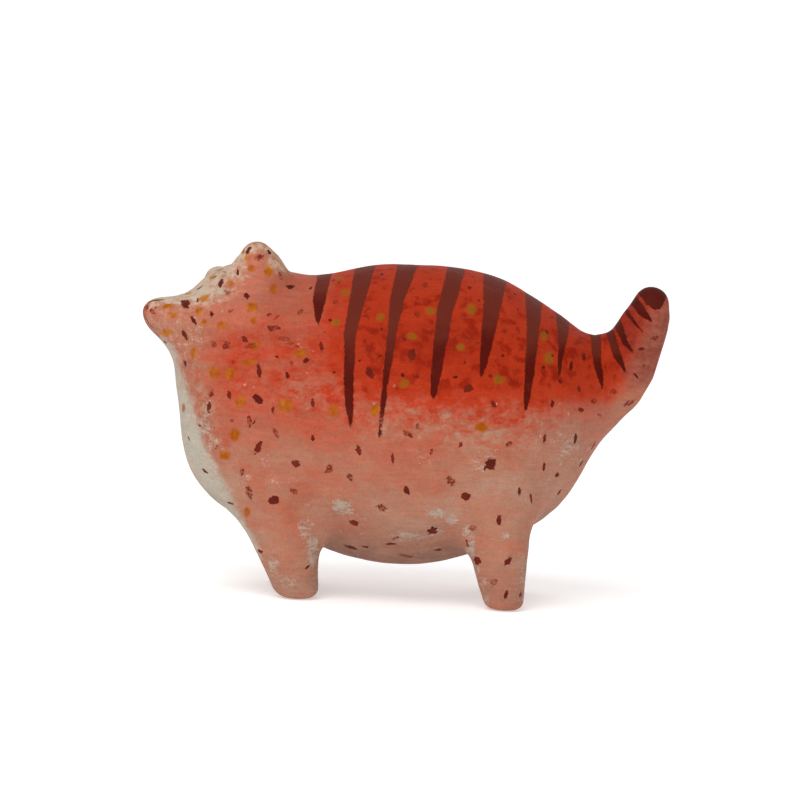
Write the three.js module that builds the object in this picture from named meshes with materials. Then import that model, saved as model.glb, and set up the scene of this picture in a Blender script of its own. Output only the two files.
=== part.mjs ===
// A papier-mache cat, hand moulded in one piece: a round barrel body on four
// short legs, a head that grows straight out of the body and turns a little
// to its left, two blunt ears, a snub muzzle and an upswept tail.
//
// Millimetres, +Z up. The cat faces -X and stands on z = 0. The origin is the
// middle of its bounding box, on the ground. Its left side is at -Y.
import * as THREE from 'three';

// ---- driving dimensions -------------------------------------------------

// where the middle of the bounding box lies in the drawing of the side view
const SIDE_VIEW_CENTRE = { x: -1.5, y: 0 };

// body: three ellipsoids lying on the middle plane, [x, z], [rx, ry, rz], pitch
const TORSO = { at: [-2.0, 68.9], r: [66.8, 49.0, 56.9], pitch: -0.04 };
const CHEST = { at: [-54.1, 63.2], r: [30.0, 43.0, 34.0], pitch: -0.35 };
const RUMP = { at: [33.6, 77.6], r: [29.7, 38.0, 40.8], pitch: 0.45 };

// tail: a smooth curve through four stations in the middle plane, each [x, z, radius]
const TAIL = [[56.6, 82.4, 18.0], [77.3, 85.2, 12.9], [88.1, 106.6, 9.4], [90.5, 115.1, 7.0]];
const TAIL_STEPS = 3;   // links between two stations
// the crook between back and tail, filled out to a soft hollow
const CROOK = { at: [71.8, 95.8], r: [9.0, 10.0, 6.0], pitch: 0 };

// head: turned to the left and leaning to the right
const HEAD = { at: [-66.5, -1.0, 98.6], r: [20.4, 30.0, 24.0], pitch: -0.25, yaw: 0.27, roll: 0.15 };
// the parts of the head in its own axes: -x forwards, y sideways, z up
const MUZZLE = { at: [-20.9, 0, 0.9], r: [14.9, 13.5, 8.3], pitch: -0.36 };
const EAR = { base: [4.2, 21.0, 18.8], baseR: 9.3, tip: [2.8, 24.5, 23.5], tipR: 6.0 };
const RIGHT_EAR_SHIFT = [-4.0, -3.0];

// legs: round cones from hip to foot, y measured out from the middle plane
const FRONT_LEG = { hip: [-47.5, 21.0, 42.6], hipR: 17.0, foot: [-37.4, 25.0, 3.6], footR: 7.9, rightShift: -2.2 };
const HIND_LEG = { hip: [32.5, 22.5, 52.0], hipR: 16.4, foot: [39.4, 29.0, 3.3], footR: 7.5, rightShift: 2.2 };

// how softly each part flows into the rest
const BLEND = { body: 22, tail: 20, crook: 5, head: 26, muzzle: 10, ear: 7, leg: 10, sole: 4 };

// facet sizes: fine at head, tail, feet and ears, coarse along the barrel
const FACET = { fine: 3.7, coarse: 5.0, across: 4.4 };

// ---- the form as a distance field ---------------------------------------

const smoothMin = (a, b, k) => {
  const h = Math.max(k - Math.abs(a - b), 0) / k;
  return Math.min(a, b) - h * h * k * 0.25;
};

function ellipsoid(x, y, z, r, pitch) {
  const c = Math.cos(pitch), s = Math.sin(pitch);
  const u = x * c + z * s, w = -x * s + z * c;
  const k0 = Math.hypot(u / r[0], y / r[1], w / r[2]);
  const k1 = Math.hypot(u / r[0] ** 2, y / r[1] ** 2, w / r[2] ** 2);
  return k1 > 1e-9 ? k0 * (k0 - 1) / k1 : -Math.min(...r);
}

function roundCone(x, y, z, a, b, ra, rb) {
  const ba = [b[0] - a[0], b[1] - a[1], b[2] - a[2]];
  const pa = [x - a[0], y - a[1], z - a[2]];
  const l2 = ba[0] ** 2 + ba[1] ** 2 + ba[2] ** 2, rr = ra - rb, a2 = l2 - rr * rr, il2 = 1 / l2;
  const t = pa[0] * ba[0] + pa[1] * ba[1] + pa[2] * ba[2], w = t - l2;
  const q = [0, 1, 2].map((i) => pa[i] * l2 - ba[i] * t);
  const x2 = q[0] ** 2 + q[1] ** 2 + q[2] ** 2, y2 = t * t * l2, z2 = w * w * l2;
  const k = Math.sign(rr) * rr * rr * x2;
  if (Math.sign(w) * a2 * z2 > k) return Math.sqrt(x2 + z2) * il2 - rb;
  if (Math.sign(t) * a2 * y2 < k) return Math.sqrt(x2 + y2) * il2 - ra;
  return (Math.sqrt(x2 * a2 * il2) + t * rr) * il2 - ra;
}

// the tail's stations joined by a smooth curve, radius and all
function tailLinks() {
  const first = TAIL[0].map((v, m) => 2 * v - TAIL[1][m]);
  const last = TAIL[TAIL.length - 1].map((v, m) => 2 * v - TAIL[TAIL.length - 2][m]);
  const s = [first, ...TAIL, last], links = [];
  for (let i = 1; i < s.length - 2; i++) for (let j = 0; j < TAIL_STEPS; j++) {
    const u = j / TAIL_STEPS;
    links.push([0, 1, 2].map((m) => {
      const [a, b, c, d] = [s[i - 1][m], s[i][m], s[i + 1][m], s[i + 2][m]];
      return 0.5 * (2 * b + (c - a) * u + (2 * a - 5 * b + 4 * c - d) * u * u + (3 * b - a - 3 * c + d) * u ** 3);
    }));
  }
  return [...links, TAIL[TAIL.length - 1]];
}
const TAIL_LINKS = tailLinks();

// a point in the head's own axes
function toHead(x, y, z) {
  const cy = Math.cos(HEAD.yaw), sy = Math.sin(HEAD.yaw), cr = Math.cos(HEAD.roll), sr = Math.sin(HEAD.roll);
  const px = x - HEAD.at[0], py = y - HEAD.at[1], pz = z - HEAD.at[2];
  const side = -sy * px + cy * py;
  return [cy * px + sy * py, cr * side - sr * pz, sr * side + cr * pz];
}

function form(px, py, pz) {
  const x = px + SIDE_VIEW_CENTRE.x, y = py + SIDE_VIEW_CENTRE.y, z = pz;
  const lump = (e) => ellipsoid(x - e.at[0], y, z - e.at[1], e.r, e.pitch);
  let d = smoothMin(lump(TORSO), lump(CHEST), BLEND.body);
  d = smoothMin(d, lump(RUMP), BLEND.body);

  let tail = Infinity;
  for (let i = 0; i + 1 < TAIL_LINKS.length; i++) {
    const [ax, az, ar] = TAIL_LINKS[i], [bx, bz, br] = TAIL_LINKS[i + 1];
    tail = Math.min(tail, roundCone(x, y, z, [ax, 0, az], [bx, 0, bz], ar, br));
  }
  d = smoothMin(d, tail, BLEND.tail);
  d = smoothMin(d, lump(CROOK), BLEND.crook);

  const [hx, hy, hz] = toHead(x, y, z);
  d = smoothMin(d, ellipsoid(hx, hy, hz, HEAD.r, HEAD.pitch), BLEND.head);
  d = smoothMin(d, ellipsoid(hx - MUZZLE.at[0], hy - MUZZLE.at[1], hz - MUZZLE.at[2], MUZZLE.r, MUZZLE.pitch), BLEND.muzzle);
  for (const side of [-1, 1]) {
    const [ex, ez] = side > 0 ? RIGHT_EAR_SHIFT : [0, 0];
    const base = [EAR.base[0] + ex, side * EAR.base[1], EAR.base[2] + ez];
    const tip = [EAR.tip[0] + ex, side * EAR.tip[1], EAR.tip[2] + ez];
    d = smoothMin(d, roundCone(hx, hy, hz, base, tip, EAR.baseR, EAR.tipR), BLEND.ear);
  }

  for (const leg of [FRONT_LEG, HIND_LEG]) for (const side of [-1, 1]) {
    const dx = side > 0 ? leg.rightShift : 0;
    const hip = [leg.hip[0] + dx, side * leg.hip[1], leg.hip[2]];
    const foot = [leg.foot[0] + dx, side * leg.foot[1], leg.foot[2]];
    d = smoothMin(d, roundCone(x, y, z, hip, foot, leg.hipR, leg.footR), BLEND.leg);
  }
  // flat soles with a soft edge
  return -smoothMin(-d, z, BLEND.sole);
}

function slope(p) {
  const e = 0.02;
  return [0, 1, 2].map((i) => {
    const a = [...p], b = [...p];
    a[i] += e; b[i] -= e;
    return (form(...a) - form(...b)) / (2 * e);
  });
}

// ---- the skin: one facet vertex per grid cell that the surface crosses ----

const ramp = (t, a, b) => { const s = Math.min(Math.max((t - a) / (b - a), 0), 1); return s * s * (3 - 2 * s); };

function stations(from, to, stepAt) {
  const a = [from];
  while (a[a.length - 1] < to) a.push(a[a.length - 1] + stepAt(a[a.length - 1]));
  return a;
}

function skin() {
  const between = (t, lo0, lo1, hi0, hi1) => FACET.fine + (FACET.coarse - FACET.fine) * ramp(t, lo0, lo1) * (1 - ramp(t, hi0, hi1));
  const xs = stations(-110, 108, (t) => between(t, -66, -48, 52, 66));
  const half = stations(FACET.across / 2, 60, () => FACET.across);
  const ys = [...half.slice().reverse().map((t) => -t), ...half];
  const zs = stations(-1.5 * FACET.fine, 146, (t) => between(t, 8, 24, 84, 98));
  const [nx, ny, nz] = [xs.length, ys.length, zs.length];
  const at = (i, j, k) => (i * ny + j) * nz + k;
  const value = new Float64Array(nx * ny * nz);
  for (let i = 0; i < nx; i++) for (let j = 0; j < ny; j++) for (let k = 0; k < nz; k++) value[at(i, j, k)] = form(xs[i], ys[j], zs[k]);

  const corners = [0, 1, 2, 3, 4, 5, 6, 7].map((c) => [c & 1, (c >> 1) & 1, c >> 2]);
  const edges = [];
  for (let a = 0; a < 8; a++) for (const bit of [1, 2, 4]) if (!(a & bit)) edges.push([a, a | bit]);

  const vertexOf = new Map(), points = [];
  for (let i = 0; i < nx - 1; i++) for (let j = 0; j < ny - 1; j++) for (let k = 0; k < nz - 1; k++) {
    const v = corners.map(([a, b, c]) => value[at(i + a, j + b, k + c)]);
    if (v.every((s) => s < 0) || v.every((s) => s >= 0)) continue;
    const sum = [0, 0, 0];
    let n = 0;
    for (const [a, b] of edges) {
      if ((v[a] < 0) === (v[b] < 0)) continue;
      const t = v[a] / (v[a] - v[b]);
      const p = corners[a].map((o, m) => o + (corners[b][m] - o) * t);
      for (let m = 0; m < 3; m++) sum[m] += p[m];
      n++;
    }
    const f = sum.map((s) => s / n);
    let p = [xs[i] + f[0] * (xs[i + 1] - xs[i]), ys[j] + f[1] * (ys[j + 1] - ys[j]), zs[k] + f[2] * (zs[k + 1] - zs[k])];
    for (let step = 0; step < 6; step++) {
      const d = form(...p), g = slope(p), gg = g[0] ** 2 + g[1] ** 2 + g[2] ** 2;
      if (Math.abs(d) < 1e-4 || gg < 1e-6) break;
      p = p.map((c, m) => c - d * g[m] / gg);
    }
    if (zs[k] < 0) p[2] = 0;   // the lowest layer of cells is the soles
    vertexOf.set(at(i, j, k), points.length);
    points.push(p);
  }

  const triangles = [];
  const gap = (a, b) => Math.hypot(points[a][0] - points[b][0], points[a][1] - points[b][1], points[a][2] - points[b][2]);
  const quad = (a, b, c, d) => {
    if (gap(a, c) <= gap(b, d)) triangles.push(a, b, c, a, c, d);
    else triangles.push(a, b, d, b, c, d);
  };
  for (let i = 1; i < nx - 1; i++) for (let j = 1; j < ny - 1; j++) for (let k = 1; k < nz - 1; k++) {
    const here = value[at(i, j, k)] < 0;
    const around = {
      x: [[0, -1, -1], [0, 0, -1], [0, 0, 0], [0, -1, 0]],
      y: [[-1, 0, -1], [-1, 0, 0], [0, 0, 0], [0, 0, -1]],
      z: [[-1, -1, 0], [0, -1, 0], [0, 0, 0], [-1, 0, 0]],
    };
    for (const [axis, next] of [['x', at(i + 1, j, k)], ['y', at(i, j + 1, k)], ['z', at(i, j, k + 1)]]) {
      if ((value[next] < 0) === here) continue;
      const q = around[axis].map(([a, b, c]) => vertexOf.get(at(i + a, j + b, k + c)));
      if (here) quad(...q); else quad(...q.reverse());
    }
  }
  const geometry = new THREE.BufferGeometry();
  geometry.setAttribute('position', new THREE.Float32BufferAttribute(points.flat(), 3));
  geometry.setIndex(triangles);
  geometry.computeVertexNormals();
  return geometry;
}

const paintedPaper = new THREE.MeshStandardMaterial({ color: 0xc96a50, roughness: 0.62, metalness: 0.0 });
const cat = new THREE.Mesh(skin(), paintedPaper);
cat.name = 'papier_mache_cat';

const model = new THREE.Group();
model.name = 'cat_ornament';
model.add(cat);

export default model;
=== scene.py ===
"""A papier-mache cat, hand moulded in one piece and painted: the fine surface, its paint and the studio."""
import math

import bpy
import numpy as np
from mathutils import Matrix, Vector


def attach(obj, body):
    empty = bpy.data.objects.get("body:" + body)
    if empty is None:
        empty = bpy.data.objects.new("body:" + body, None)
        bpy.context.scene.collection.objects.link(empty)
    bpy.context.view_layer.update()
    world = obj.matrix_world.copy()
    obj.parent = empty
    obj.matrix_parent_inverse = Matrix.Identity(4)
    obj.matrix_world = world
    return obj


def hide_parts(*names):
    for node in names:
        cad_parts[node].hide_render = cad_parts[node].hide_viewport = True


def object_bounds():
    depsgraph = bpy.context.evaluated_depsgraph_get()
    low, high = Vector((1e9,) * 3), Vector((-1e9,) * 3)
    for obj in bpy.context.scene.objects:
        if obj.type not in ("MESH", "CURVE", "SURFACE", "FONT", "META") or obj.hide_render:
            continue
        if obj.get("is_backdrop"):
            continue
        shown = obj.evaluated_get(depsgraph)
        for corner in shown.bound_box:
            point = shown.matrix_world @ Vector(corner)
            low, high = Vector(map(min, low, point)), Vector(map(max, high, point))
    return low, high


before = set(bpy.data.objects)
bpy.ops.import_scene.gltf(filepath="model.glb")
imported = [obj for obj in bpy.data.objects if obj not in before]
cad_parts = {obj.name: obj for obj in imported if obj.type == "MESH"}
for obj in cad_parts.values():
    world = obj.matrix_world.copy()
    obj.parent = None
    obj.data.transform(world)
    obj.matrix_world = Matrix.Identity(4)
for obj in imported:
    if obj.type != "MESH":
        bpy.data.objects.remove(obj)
cad_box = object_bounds()
NODE = "papier_mache_cat"

# ---------------------------------------------------------------- the form (millimetres, the same sizes as the solid)
CENTRE_X = -1.5
TORSO = dict(at=(-2.0, 68.9), r=(66.8, 49.0, 56.9), pitch=-0.04)
CHEST = dict(at=(-54.1, 63.2), r=(30.0, 43.0, 34.0), pitch=-0.35)
RUMP = dict(at=(33.6, 77.6), r=(29.7, 38.0, 40.8), pitch=0.45)
TAIL = ((56.6, 82.4, 18.0), (77.3, 85.2, 12.9), (88.1, 106.6, 9.4), (90.5, 115.1, 7.0))
TAIL_STEPS = 3
HEAD = dict(at=(-66.5, -1.0, 98.6), r=(20.4, 30.0, 24.0), pitch=-0.25, yaw=0.27, roll=0.15)
MUZZLE = dict(at=(-20.9, 0.0, 0.9), r=(14.9, 13.5, 8.3), pitch=-0.36)
EAR = dict(base=(4.2, 21.0, 18.8), base_r=9.3, tip=(2.8, 24.5, 23.5), tip_r=6.0)
RIGHT_EAR_SHIFT = (-4.0, -3.0)
FRONT_LEG = dict(hip=(-47.5, 21.0, 42.6), hip_r=17.0, foot=(-37.4, 25.0, 3.6), foot_r=7.9, right=-2.2)
HIND_LEG = dict(hip=(32.5, 22.5, 52.0), hip_r=16.4, foot=(39.4, 29.0, 3.3), foot_r=7.5, right=2.2)
CROOK = dict(at=(71.8, 95.8), r=(9.0, 10.0, 6.0), pitch=0.0)
BLEND = dict(body=22.0, tail=20.0, crook=5.0, head=26.0, muzzle=10.0, ear=7.0, leg=10.0, sole=4.0)
SKIN_STEP = 1.06          # spacing of the fine surface


def smooth_min(a, b, k):
    h = np.maximum(k - np.abs(a - b), 0.0) / k
    return np.minimum(a, b) - h * h * k * 0.25


def ellipsoid(x, y, z, r, pitch):
    c, s = math.cos(pitch), math.sin(pitch)
    u, w = x * c + z * s, -x * s + z * c
    k0 = np.sqrt((u / r[0]) ** 2 + (y / r[1]) ** 2 + (w / r[2]) ** 2)
    k1 = np.sqrt((u / r[0] ** 2) ** 2 + (y / r[1] ** 2) ** 2 + (w / r[2] ** 2) ** 2)
    return k0 * (k0 - 1.0) / np.maximum(k1, 1e-9)


def round_cone(x, y, z, a, b, ra, rb):
    ba = (b[0] - a[0], b[1] - a[1], b[2] - a[2])
    px, py, pz = x - a[0], y - a[1], z - a[2]
    l2 = ba[0] ** 2 + ba[1] ** 2 + ba[2] ** 2
    rr = ra - rb
    a2, il2 = l2 - rr * rr, 1.0 / l2
    t = px * ba[0] + py * ba[1] + pz * ba[2]
    w = t - l2
    qx, qy, qz = px * l2 - ba[0] * t, py * l2 - ba[1] * t, pz * l2 - ba[2] * t
    x2, y2, z2 = qx * qx + qy * qy + qz * qz, t * t * l2, w * w * l2
    k = math.copysign(1.0, rr) * rr * rr * x2
    side = (np.sqrt(x2 * a2 * il2) + t * rr) * il2 - ra
    return np.where(np.sign(w) * a2 * z2 > k, np.sqrt(x2 + z2) * il2 - rb,
                    np.where(np.sign(t) * a2 * y2 < k, np.sqrt(x2 + y2) * il2 - ra, side))


def tail_links():
    t = [np.array(s) for s in TAIL]
    s = [2 * t[0] - t[1]] + t + [2 * t[-1] - t[-2]]
    out = []
    for i in range(1, len(s) - 2):
        a, b, c, d = s[i - 1:i + 3]
        for j in range(TAIL_STEPS):
            u = j / TAIL_STEPS
            out.append(0.5 * (2 * b + (c - a) * u + (2 * a - 5 * b + 4 * c - d) * u * u + (3 * b - a - 3 * c + d) * u ** 3))
    return out + [t[-1]]


def to_head(x, y, z):
    cy, sy, cr, sr = math.cos(HEAD["yaw"]), math.sin(HEAD["yaw"]), math.cos(HEAD["roll"]), math.sin(HEAD["roll"])
    px, py, pz = x - HEAD["at"][0], y - HEAD["at"][1], z - HEAD["at"][2]
    side = -sy * px + cy * py
    return cy * px + sy * py, cr * side - sr * pz, sr * side + cr * pz


def from_head(hx, hy, hz):
    """A place in the head's own axes, as a point of the cat."""
    cy, sy, cr, sr = math.cos(HEAD["yaw"]), math.sin(HEAD["yaw"]), math.cos(HEAD["roll"]), math.sin(HEAD["roll"])
    side, pz = cr * hy + sr * hz, -sr * hy + cr * hz
    return np.array([cy * hx - sy * side + HEAD["at"][0] - CENTRE_X, sy * hx + cy * side + HEAD["at"][1], pz + HEAD["at"][2]])


def form(p):
    x, y, z = p[..., 0] + CENTRE_X, p[..., 1], p[..., 2]
    lump = lambda e: ellipsoid(x - e["at"][0], y, z - e["at"][1], e["r"], e["pitch"])
    d = smooth_min(lump(TORSO), lump(CHEST), BLEND["body"])
    d = smooth_min(d, lump(RUMP), BLEND["body"])
    links, tail = tail_links(), None
    for a, b in zip(links[:-1], links[1:]):
        link = round_cone(x, y, z, (a[0], 0.0, a[1]), (b[0], 0.0, b[1]), a[2], b[2])
        tail = link if tail is None else np.minimum(tail, link)
    d = smooth_min(d, tail, BLEND["tail"])
    d = smooth_min(d, lump(CROOK), BLEND["crook"])
    hx, hy, hz = to_head(x, y, z)
    d = smooth_min(d, ellipsoid(hx, hy, hz, HEAD["r"], HEAD["pitch"]), BLEND["head"])
    m = MUZZLE["at"]
    d = smooth_min(d, ellipsoid(hx - m[0], hy - m[1], hz - m[2], MUZZLE["r"], MUZZLE["pitch"]), BLEND["muzzle"])
    for side in (-1, 1):
        ex, ez = RIGHT_EAR_SHIFT if side > 0 else (0.0, 0.0)
        base = (EAR["base"][0] + ex, side * EAR["base"][1], EAR["base"][2] + ez)
        tip = (EAR["tip"][0] + ex, side * EAR["tip"][1], EAR["tip"][2] + ez)
        d = smooth_min(d, round_cone(hx, hy, hz, base, tip, EAR["base_r"], EAR["tip_r"]), BLEND["ear"])
    for leg in (FRONT_LEG, HIND_LEG):
        for side in (-1, 1):
            dx = leg["right"] if side > 0 else 0.0
            hip = (leg["hip"][0] + dx, side * leg["hip"][1], leg["hip"][2])
            foot = (leg["foot"][0] + dx, side * leg["foot"][1], leg["foot"][2])
            d = smooth_min(d, round_cone(x, y, z, hip, foot, leg["hip_r"], leg["foot_r"]), BLEND["leg"])
    return -smooth_min(-d, z, BLEND["sole"])


def slope(p, e=0.05):
    g = np.stack([form(p + e * axis) - form(p - e * axis) for axis in np.eye(3)], -1) / (2 * e)
    return g


def unit(v):
    return v / np.maximum(np.linalg.norm(v, axis=-1, keepdims=True), 1e-9)


def step01(t, a, b):
    s = np.clip((t - a) / (b - a), 0.0, 1.0)
    return s * s * (3 - 2 * s)


def lattice_noise(p, size, seed):
    """Smooth noise from 0 to 1 with lumps of about the given size."""
    q = p / size
    i = np.floor(q).astype(np.int64)
    f = q - i
    f = f * f * f * (f * (f * 6 - 15) + 10)

    def corner(dx, dy, dz):
        h = ((i[..., 0] + dx) * 374761393 + (i[..., 1] + dy) * 668265263 + (i[..., 2] + dz) * 2147483647 + seed * 1274126177) & 0xFFFFFFFF
        h = ((h ^ (h >> 13)) * 1274126177) & 0xFFFFFFFF
        h = ((h ^ (h >> 16)) * 2246822519) & 0xFFFFFFFF
        return ((h ^ (h >> 15)) & 0xFFFF) / 65535.0

    fx, fy, fz = f[..., 0], f[..., 1], f[..., 2]
    mix = lambda a, b, t: a + (b - a) * t
    low = mix(mix(corner(0, 0, 0), corner(1, 0, 0), fx), mix(corner(0, 1, 0), corner(1, 1, 0), fx), fy)
    high = mix(mix(corner(0, 0, 1), corner(1, 0, 1), fx), mix(corner(0, 1, 1), corner(1, 1, 1), fx), fy)
    return mix(low, high, fz)


# ---------------------------------------------------------------- the fine surface
def skin(step):
    lo, hi = np.array([-103.0, -52.0, -1.5 * step]), np.array([103.0, 52.0, 135.0])
    n = np.ceil((hi - lo) / step).astype(int) + 1
    axes = [lo[m] + step * np.arange(n[m]) for m in range(3)]
    value = np.empty(n)
    yy, zz = np.meshgrid(axes[1], axes[2], indexing="ij")
    for i in range(0, n[0], 8):
        xs = axes[0][i:i + 8]
        p = np.empty((len(xs),) + yy.shape + (3,))
        p[..., 0], p[..., 1], p[..., 2] = xs[:, None, None], yy, zz
        value[i:i + 8] = form(p)
    inside = value < 0
    cell = [slice(0, -1), slice(1, None)]
    corners = [(a, b, c) for a in (0, 1) for b in (0, 1) for c in (0, 1)]
    count = sum(inside[cell[a], cell[b], cell[c]].astype(np.int8) for a, b, c in corners)
    crossed = np.argwhere((count > 0) & (count < 8))
    index = -np.ones(count.shape, np.int64)
    index[tuple(crossed.T)] = np.arange(len(crossed))
    total, hits = np.zeros((len(crossed), 3)), np.zeros(len(crossed))
    for a in corners:
        for m in range(3):
            if a[m]:
                continue
            b = tuple(1 if k == m else a[k] for k in range(3))
            va, vb = value[tuple((crossed + a).T)], value[tuple((crossed + b).T)]
            cut = (va < 0) != (vb < 0)
            t = np.where(cut, va / np.where(cut, va - vb, 1.0), 0.0)
            q = np.array(a, float) + np.outer(t, np.array(b, float) - np.array(a, float))
            total += q * cut[:, None]
            hits += cut
    points = lo + step * (crossed + total / hits[:, None])
    for _ in range(3):
        g = slope(points)
        points = points - g * (form(points) / np.maximum((g * g).sum(-1), 1e-6))[:, None]
    points[points[:, 2] < 0.02, 2] = 0.0
    quads = []
    around = (((0, -1, -1), (0, 0, -1), (0, 0, 0), (0, -1, 0)), ((-1, 0, -1), (-1, 0, 0), (0, 0, 0), (0, 0, -1)), ((-1, -1, 0), (0, -1, 0), (0, 0, 0), (-1, 0, 0)))
    for m in range(3):
        first = [slice(None)] * 3
        second = [slice(None)] * 3
        first[m], second[m] = slice(0, -1), slice(1, None)
        change = np.argwhere(inside[tuple(first)] != inside[tuple(second)])
        out = inside[tuple(change.T)]
        q = np.stack([index[tuple((change + o).T)] for o in around[m]], 1)
        quads.append(np.where(out[:, None], q, q[:, ::-1]))
    return points, np.concatenate(quads)


points, quads = skin(SKIN_STEP)
normals = unit(slope(points))

# the hand-made unevenness: slow lumps, thumb dents, and the thin edges of the pasted paper strips
rng = np.random.RandomState(11)
relief = 0.55 * (lattice_noise(points, 26.0, 1) - 0.5) + 0.32 * (lattice_noise(points, 11.0, 2) - 0.5) + 0.16 * (lattice_noise(points, 4.6, 3) - 0.5)
for _ in range(46):
    at = points[rng.randint(len(points))]
    along = unit(rng.normal(size=3))
    across = unit(np.cross(along, normals[np.argmin(((points - at) ** 2).sum(1))]))
    q = points - at
    wobble = 1.6 * (lattice_noise(points, 7.0, 40 + _) - 0.5)
    strip = step01(np.abs(q @ across) + wobble, rng.uniform(6, 10), 5.2) * step01(np.linalg.norm(q, axis=1) + wobble, rng.uniform(20, 34), 18.0)
    relief += 0.09 * strip
relief *= step01(points[:, 2], 0.2, 4.0)
base_points = points.copy()
points = points + normals * (relief - 0.1)[:, None]
points[base_points[:, 2] <= 0.0, 2] = 0.0

# ---------------------------------------------------------------- the paint, laid out on the surface
X, Y, Z = base_points.T
NEAR = Y < 0                                  # the cat's left side
HX, HY, HZ = to_head(X + CENTRE_X, Y, Z)

# tiger stripes: [x, z, half width] from the spine down to the tip
STRIPES = [
    [(-31.6, 124, 2.7), (-32.0, 119.4, 2.6), (-32.9, 110.9, 2.4), (-32.8, 105.0, 1.2), (-32.6, 101.8, 0.2)],
    [(-16.4, 126, 3.7), (-17.1, 122.8, 3.6), (-18.8, 111.7, 2.8), (-20.6, 99.7, 2.2), (-20.2, 82.9, 1.75), (-19.2, 72.0, 1.4), (-18.3, 65.0, 0.3)],
    [(0.2, 128, 3.8), (-1.1, 124.7, 3.6), (-4.2, 112.5, 2.6), (-4.9, 105.2, 2.0), (-6.7, 84.4, 1.2), (-7.4, 73.0, 0.95), (-7.9, 63.0, 0.4)],
    [(18.0, 128, 3.4), (17.3, 124.5, 3.3), (13.6, 109.8, 2.9), (12.3, 97.1, 2.4), (11.1, 84.5, 1.7), (10.8, 79.8, 1.2), (10.7, 77.2, 0.4)],
    [(32.6, 125, 4.6), (32.0, 120.8, 4.4), (30.8, 112.4, 3.3), (29.3, 99.7, 2.2), (28.3, 91.0, 1.4), (27.5, 86.4, 0.5)],
    [(47.2, 118, 3.5), (47.0, 113.7, 3.3), (46.4, 103.9, 2.4), (45.6, 89.6, 1.8), (44.9, 80.0, 1.2), (44.6, 75.4, 0.5)],
    [(58.4, 110, 2.8), (58.2, 106.0, 2.6), (57.6, 98.8, 1.5), (57.1, 94.0, 0.9), (56.7, 87.8, 0.4)],
    [(71.2, 106, 2.2), (71.3, 101.4, 2.0), (71.6, 93.3, 1.7), (72.9, 87.6, 1.2), (74.0, 83.2, 0.3)],
    [(76.6, 104, 1.7), (77.5, 101.2, 1.6), (79.4, 95.4, 1.5), (82.6, 89.6, 0.4)],
    [(78.8, 109, 1.5), (79.9, 106.0, 1.4), (82.2, 100.6, 1.2), (85.0, 97.0, 0.3)],
    [(82.2, 113, 0.8), (83.0, 111.2, 0.7), (85.8, 107.6, 0.6), (88.6, 105.0, 0.2)],
    [(84.4, 117.6, 1.7), (85.3, 116.0, 1.7), (88.1, 112.4, 1.6), (91.6, 109.2, 0.5)],
]
TAIL_CAP = [(84.0, 122.0), (86.9, 118.9), (89.3, 115.7), (92.4, 113.3), (94.7, 113.7), (96.2, 115.7), (97.5, 118.7), (100.0, 122.0)]


def stripe_gap(x, z, stripe):
    best = np.full(len(x), 99.0)
    for (ax, az, aw), (bx, bz, bw) in zip(stripe[:-1], stripe[1:]):
        dx, dz = bx - ax, bz - az
        t = np.clip(((x - ax) * dx + (z - az) * dz) / (dx * dx + dz * dz), 0, 1)
        best = np.minimum(best, np.hypot(x - ax - t * dx, z - az - t * dz) - (aw + t * (bw - aw)))
    return best


stripe_field = np.full(len(X), 99.0)
stripe_run = np.zeros(len(X))                 # 0 at the spine, 1 at the tip
far_rng = np.random.RandomState(5)
for s in STRIPES:
    gap = stripe_gap(X, Z, s)
    stripe_run = np.where(gap < stripe_field, np.clip((s[0][1] - Z) / (s[0][1] - s[-1][1]), 0, 1), stripe_run)
    stripe_field[NEAR] = np.minimum(stripe_field[NEAR], gap[NEAR])
    longer, drift = far_rng.uniform(0.82, 1.12), far_rng.uniform(-2.5, 2.5)
    top, tip = s[0][1], s[-1][1]
    far = [(x + drift * ((top - z) / (top - tip)) ** 1.5, top - (top - z) * longer, w) for x, z, w in s]
    stripe_field[~NEAR] = np.minimum(stripe_field[~NEAR], stripe_gap(X[~NEAR], Z[~NEAR], far))
cap = np.interp(X, [c[0] for c in TAIL_CAP], [c[1] for c in TAIL_CAP]) - Z
stripe_field = np.where(X > 80.0, np.minimum(stripe_field, cap), stripe_field)
stripe_field = np.clip(stripe_field, -4.0, 6.0)

# broad areas, left to the brush at their edges
RUDDY_EDGE = [(-80, 80), (-44, 79), (-26, 77), (-12, 73), (6, 72), (24, 70.5), (42, 72), (57, 73), (66, 74), (76, 77), (84, 88), (90, 104), (96, 118)]
edge = np.interp(X, [e[0] for e in RUDDY_EDGE], [e[1] for e in RUDDY_EDGE])
ruddy = step01(Z - edge, -9.0, 13.0)
front_edge = np.interp(Z, [60, 75, 87, 97, 107, 116, 125], [-33, -30, -29, -29, -30, -30, -32])
ruddy *= step01(X - front_edge, -16.0, 15.0)
flush = step01(X, -78.0, -60.0) * step01(-X, -6.0, 30.0) * step01(Z, 54.0, 80.0) * step01(-Z, -118.0, -92.0)
flush = np.maximum(flush, 0.6 * step01(X, -60.0, -40.0) * step01(-X, 16.0, 34.0) * step01(Z, 78.0, 92.0))
flush *= 1 - 0.6 * step01(-X, 26.0, 36.0) * step01(Z, 96.0, 106.0)
low = step01(-Z, -70.0, -30.0)
rear = step01(X, 40.0, 60.0) * step01(-Z, -84.0, -72.0)
tail = step01(X, 70.0, 84.0) * step01(Z, 78.0, 92.0)
head_area = step01(-X, 44.0, 64.0) * step01(Z, 90.0, 108.0)
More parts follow.
